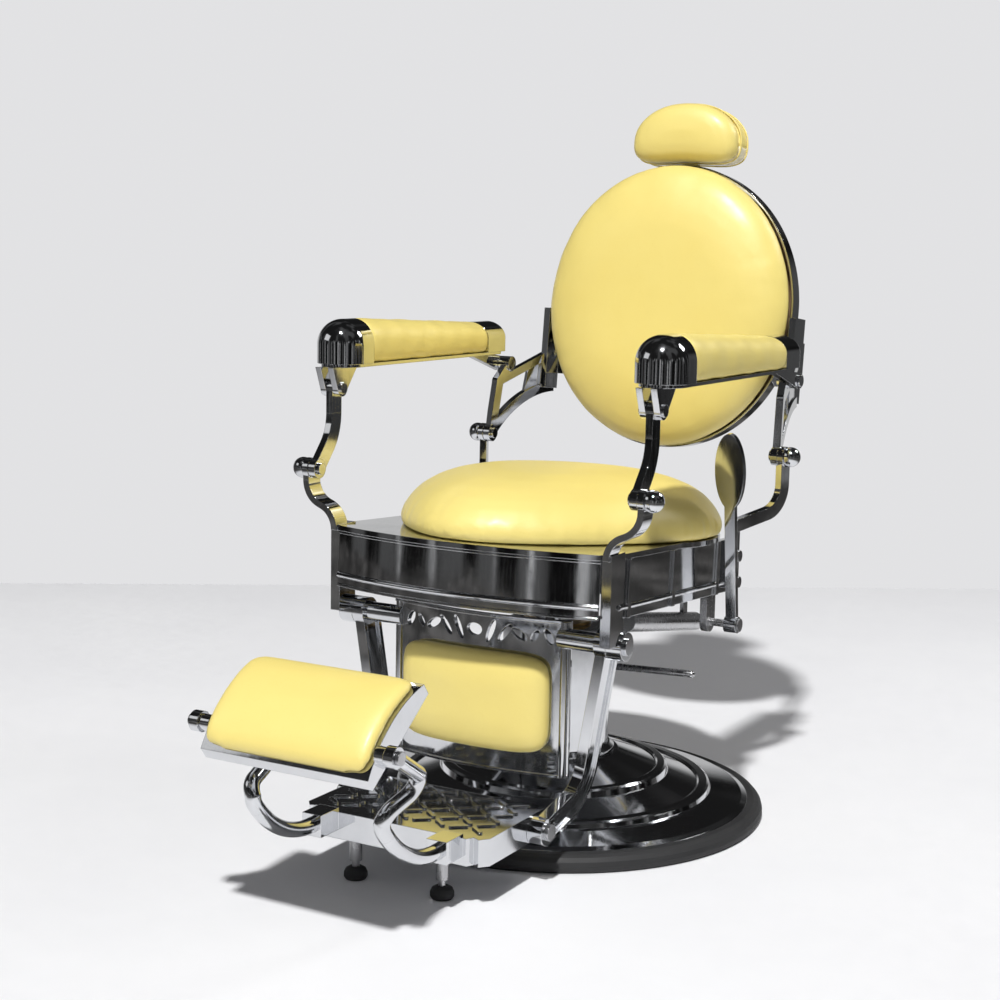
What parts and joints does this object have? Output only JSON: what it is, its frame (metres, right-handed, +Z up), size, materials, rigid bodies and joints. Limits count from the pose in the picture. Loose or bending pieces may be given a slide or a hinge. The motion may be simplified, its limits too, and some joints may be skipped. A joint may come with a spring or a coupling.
{
  "type": "hydraulic barber chair",
  "caption": "Reclining hydraulic barber chair with round seat and back, headrest, chromed castings, swinging leg rest and flip footrest pad.",
  "frame": {"origin": "middle of the round foot, on the floor", "axes": "+Z up, the chair faces -Y, +X is the sitter's left"},
  "size_m": [0.6719, 1.233, 1.1431],
  "materials": {
    "chrome": "polished",
    "iron": "painted satin",
    "steel": "zinc plated",
    "brass": "machined",
    "rubber": "moulded matte",
    "vinyl": "pale yellow upholstery vinyl, low gloss",
    "wood": "plywood"
  },
  "bodies": {
    "base": {"base_plate": "iron", "rubber_ring": "rubber", "base_cover": "chrome", "column_cover": "chrome", "pump_cylinder": "iron", "cylinder_bush": "brass", "base_bolts": "steel", "pump_pin": "steel"},
    "pump_lever_body": {"pump_lever": "steel"},
    "ram": {"pump_ram": "chrome"},
    "seat": {"swivel_hub": "iron", "seat_carriage": "iron", "side_frame_left": "chrome", "side_frame_right": "chrome", "front_apron": "chrome", "seat_pan": "chrome", "seat_cushion": "vinyl", "rear_post_left": "chrome", "rear_post_right": "chrome", "post_bolts": "steel", "ball_bolts": "chrome", "knee_pins": "chrome", "lever_bracket": "steel", "lock_cylinder": "steel"},
    "recline_lever_body": {"recline_lever": "chrome"},
    "backrest": {"back_shell": "chrome", "back_board": "wood", "back_cushion": "vinyl", "back_bracket_left": "chrome", "back_bracket_right": "chrome", "bracket_screws": "steel", "headrest_socket": "chrome", "arm_pivot_pins": "chrome"},
    "headrest": {"headrest_post": "chrome", "headrest_box": "vinyl", "headrest_cushion": "vinyl"},
    "armrest_left": {"arm_tray_left": "chrome", "arm_pad_left": "vinyl", "arm_front_cap_left": "chrome", "arm_rear_cap_left": "chrome"},
    "armrest_right": {"arm_tray_right": "chrome", "arm_pad_right": "vinyl", "arm_front_cap_right": "chrome", "arm_rear_cap_right": "chrome"},
    "arm_link_left": {"front_link_left": "chrome"},
    "arm_link_right": {"front_link_right": "chrome"},
    "leg_rest": {"leg_arm_left": "chrome", "leg_arm_right": "chrome", "calf_panel": "chrome", "calf_cushion": "vinyl", "calf_bumpers": "rubber", "footplate": "chrome", "foot_stems": "steel", "foot_pads": "rubber", "foot_bolts": "steel", "s_arm_left": "chrome", "s_arm_right": "chrome"},
    "footrest": {"footrest_tray": "chrome", "footrest_cushion": "vinyl", "footrest_knobs": "steel"}
  },
  "joints": [
    {"name": "pump_stroke", "type": "hinge", "parent": "base", "child": "pump_lever_body", "pos_m": [0.06401, 0.01129, 0.235], "axis": [-0.1736, 0.9848, 0], "range_deg": [0, 15], "stiffness_Nm_per_rad": 0.6, "springref_deg": -28.65},
    {"name": "lift", "type": "slide", "parent": "base", "child": "ram", "axis": [0, 0, 1], "range_m": [0, 0.15]},
    {"name": "swivel", "type": "hinge", "parent": "ram", "child": "seat", "pos_m": [0, 0, 0.344], "axis": [0, 0, 1], "continuous": true},
    {"name": "recline_control", "type": "hinge", "parent": "seat", "child": "recline_lever_body", "pos_m": [0.272, 0.066, 0.316], "axis": [1, 0, 0], "range_deg": [-12, 12]},
    {"name": "recline", "type": "hinge", "parent": "seat", "child": "backrest", "pos_m": [0, 0.239, 0.563], "axis": [-1, 0, 0], "range_deg": [0, 40]},
    {"name": "headrest_height", "type": "slide", "parent": "backrest", "child": "headrest", "axis": [0, 0.1045, 0.9945], "range_m": [0, 0.1]},
    {"name": "arm_level_left", "type": "hinge", "parent": "backrest", "child": "armrest_left", "pos_m": [0.269, 0.283, 0.683], "axis": [1, 0, 0], "range_deg": [0, 40]},
    {"name": "arm_level_right", "type": "hinge", "parent": "backrest", "child": "armrest_right", "pos_m": [-0.269, 0.283, 0.683], "axis": [1, 0, 0], "range_deg": [0, 40]},
    {"name": "arm_link_swing_left", "type": "hinge", "parent": "seat", "child": "arm_link_left", "pos_m": [0.268, -0.285, 0.553], "axis": [-1, 0, 0], "range_deg": [0, 40]},
    {"name": "arm_link_swing_right", "type": "hinge", "parent": "seat", "child": "arm_link_right", "pos_m": [-0.268, -0.285, 0.553], "axis": [-1, 0, 0], "range_deg": [0, 40]},
    {"name": "leg_lift", "type": "hinge", "parent": "seat", "child": "leg_rest", "pos_m": [0, -0.244, 0.335], "axis": [-1, 0, 0], "range_deg": [0, 48]},
    {"name": "footrest_flip", "type": "hinge", "parent": "leg_rest", "child": "footrest", "pos_m": [0, -0.70974, 0.27488], "axis": [1, 0, 0], "range_deg": [0, 180]}
  ],
  "couplings": [
    {"joint": "arm_level_left", "follows": "recline", "ratio": 1},
    {"joint": "arm_level_right", "follows": "recline", "ratio": 1},
    {"joint": "arm_link_swing_left", "follows": "recline", "ratio": 1},
    {"joint": "arm_link_swing_right", "follows": "recline", "ratio": 1},
    {"joint": "leg_lift", "follows": "recline", "ratio": 1.2}
  ]
}
